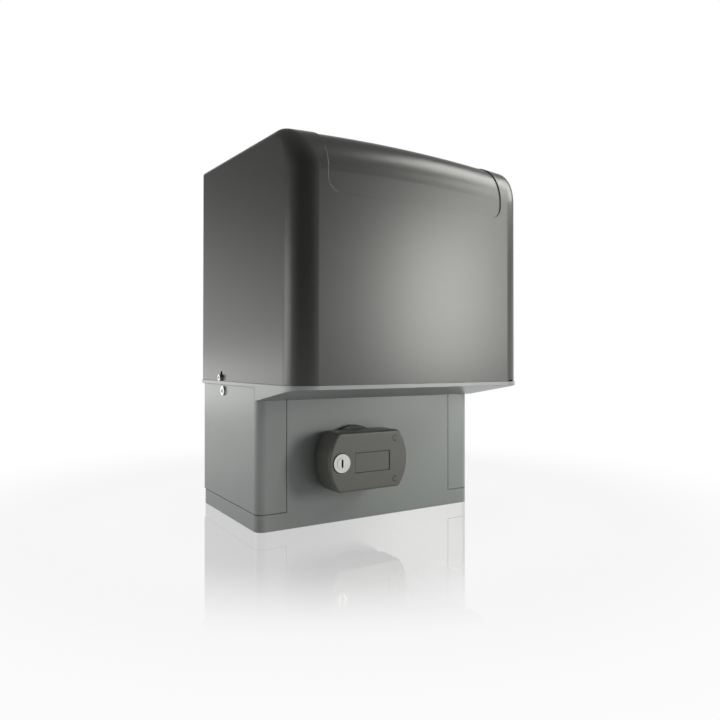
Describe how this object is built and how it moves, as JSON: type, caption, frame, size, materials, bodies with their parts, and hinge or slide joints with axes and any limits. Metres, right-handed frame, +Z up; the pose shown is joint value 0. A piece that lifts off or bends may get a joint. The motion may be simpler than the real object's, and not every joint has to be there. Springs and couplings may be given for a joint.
{
  "type": "sliding gate motor",
  "caption": "Sliding gate motor with a lift-off hood on a grey clad body, a lockable release handle and a rear rack pinion.",
  "frame": {"origin": "centre of the base plate's underside", "axes": "+Z up, -Y front with the release handle, +Y gate side with the drive pinion"},
  "size_m": [0.2464, 0.2527, 0.3507],
  "materials": {
    "hood_plastic": "fine moulded texture, anthracite",
    "panel_plastic": "glossy cool grey",
    "tray_plastic": "light grey moulding",
    "handle_plastic": "dark warm grey moulding",
    "zinc_steel": "zinc plated",
    "chrome_brass": "polished",
    "cast_aluminium": "as cast",
    "machined_aluminium": "machined",
    "gear_steel": "machined",
    "bronze": "machined bronze",
    "bearing_steel": "ground",
    "lamination": "stacked sheets",
    "copper_winding": "enamelled wire",
    "seal_rubber": "nitrile",
    "spring_steel": "spring wire",
    "board_laminate": "solder mask",
    "black_plastic": "moulded",
    "terminal_green": "moulded",
    "relay_plastic": "moulded",
    "can_plastic": "white moulded can",
    "button_plastic": "moulded",
    "trimmer_plastic": "moulded",
    "coil_tape": "wrapped tape",
    "glass_and_holder": "holder with its fuse"
  },
  "bodies": {
    "root": {"tray": "tray_plastic", "base_skirt": "panel_plastic", "side_panel_left": "panel_plastic", "side_panel_right": "panel_plastic", "rear_panel": "panel_plastic", "base_plate": "zinc_steel", "levelling_screws": "zinc_steel", "foot_bolts": "zinc_steel", "small_screws": "zinc_steel", "case_screws": "zinc_steel", "gearbox_housing": "cast_aluminium", "gearbox_cover": "cast_aluminium", "guide_pins": "bearing_steel", "output_bearings": "bearing_steel", "worm_bearings": "bearing_steel", "bearing_retainer": "gear_steel", "shaft_seal": "seal_rubber", "motor_frame": "machined_aluminium", "stator_core": "lamination", "stator_windings": "copper_winding", "motor_end_cap": "machined_aluminium", "handle_bezel": "handle_plastic", "board_carrier": "black_plastic", "circuit_board": "board_laminate", "terminal_blocks": "terminal_green", "relays_and_chip": "relay_plastic", "fuse": "glass_and_holder", "radio_receiver": "board_laminate", "control_cases": "black_plastic", "run_capacitor": "can_plastic", "capacitor_clamp": "zinc_steel", "transformer_core": "lamination", "transformer_coil": "coil_tape", "limit_sensor": "black_plastic", "cable_grommet": "seal_rubber"},
    "hood": {"hood": "hood_plastic"},
    "handle": {"release_handle": "handle_plastic", "lock_cylinder": "chrome_brass", "handle_spindle": "bearing_steel", "release_cam": "gear_steel"},
    "key": {"key_plug": "chrome_brass", "lock_tongue": "zinc_steel"},
    "follower": {"cam_follower": "gear_steel"},
    "output": {"output_shaft": "gear_steel", "drive_pinion": "zinc_steel", "pinion_key": "gear_steel", "pinion_retainer": "zinc_steel", "clutch_spring": "spring_steel", "thrust_washer": "bearing_steel"},
    "clutch": {"clutch_dog": "gear_steel", "clutch_pin": "bearing_steel", "push_rod": "bearing_steel"},
    "wheel": {"worm_wheel": "bronze"},
    "rotor": {"worm_shaft": "gear_steel", "rotor_core": "lamination"},
    "learn_button": {"learn_button": "button_plastic"},
    "open_button": {"open_button": "button_plastic"},
    "close_button": {"close_button": "button_plastic"},
    "force_trimmer": {"force_trimmer": "trimmer_plastic"},
    "pause_trimmer": {"pause_trimmer": "trimmer_plastic"}
  },
  "joints": [
    {"name": "hood_lift", "type": "slide", "parent": "root", "child": "hood", "axis": [0, 0, 1], "range_m": [0, 0.2]},
    {"name": "handle_turn", "type": "hinge", "parent": "root", "child": "handle", "pos_m": [-0.025, -0.09, 0.059], "axis": [0, 1, 0], "range_deg": [0, 90]},
    {"name": "key_turn", "type": "hinge", "parent": "handle", "child": "key", "pos_m": [-0.054, -0.09, 0.059], "axis": [0, 1, 0], "range_deg": [0, 90]},
    {"name": "follower_slide", "type": "slide", "parent": "root", "child": "follower", "axis": [0, 1, 0], "range_m": [0, 0.0045]},
    {"name": "rotor_spin", "type": "hinge", "parent": "root", "child": "rotor", "pos_m": [0.035, -0.018, 0.059], "axis": [0, 0, 1], "continuous": true},
    {"name": "wheel_spin", "type": "hinge", "parent": "root", "child": "wheel", "pos_m": [-0.025, -0.018, 0.059], "axis": [0, 1, 0], "continuous": true},
    {"name": "output_spin", "type": "hinge", "parent": "root", "child": "output", "pos_m": [-0.025, -0.018, 0.059], "axis": [0, 1, 0], "continuous": true},
    {"name": "clutch_slide", "type": "slide", "parent": "output", "child": "clutch", "axis": [0, 1, 0], "range_m": [0, 0.0045], "deforming": ["clutch_spring"]},
    {"name": "learn_press", "type": "slide", "parent": "root", "child": "learn_button", "axis": [0, 1, 0], "range_m": [0, 0.0005], "stiffness_N_per_m": 600, "springref_m": -0.001},
    {"name": "open_press", "type": "slide", "parent": "root", "child": "open_button", "axis": [0, 1, 0], "range_m": [0, 0.0005], "stiffness_N_per_m": 600, "springref_m": -0.001},
    {"name": "close_press", "type": "slide", "parent": "root", "child": "close_button", "axis": [0, 1, 0], "range_m": [0, 0.0005], "stiffness_N_per_m": 600, "springref_m": -0.001},
    {"name": "force_trim", "type": "hinge", "parent": "root", "child": "force_trimmer", "pos_m": [-0.066, -0.0996, 0.172], "axis": [0, 1, 0], "range_deg": [-135, 135]},
    {"name": "pause_trim", "type": "hinge", "parent": "root", "child": "pause_trimmer", "pos_m": [-0.05, -0.0996, 0.172], "axis": [0, 1, 0], "range_deg": [-135, 135]}
  ],
  "couplings": [
    {"joint": "follower_slide", "follows": "handle_turn", "m_per_rad": 0.0028648},
    {"joint": "clutch_slide", "follows": "handle_turn", "m_per_rad": 0.0028648},
    {"joint": "wheel_spin", "follows": "rotor_spin", "ratio": 0.033333},
    {"joint": "output_spin", "follows": "rotor_spin", "ratio": 0.033333}
  ]
}
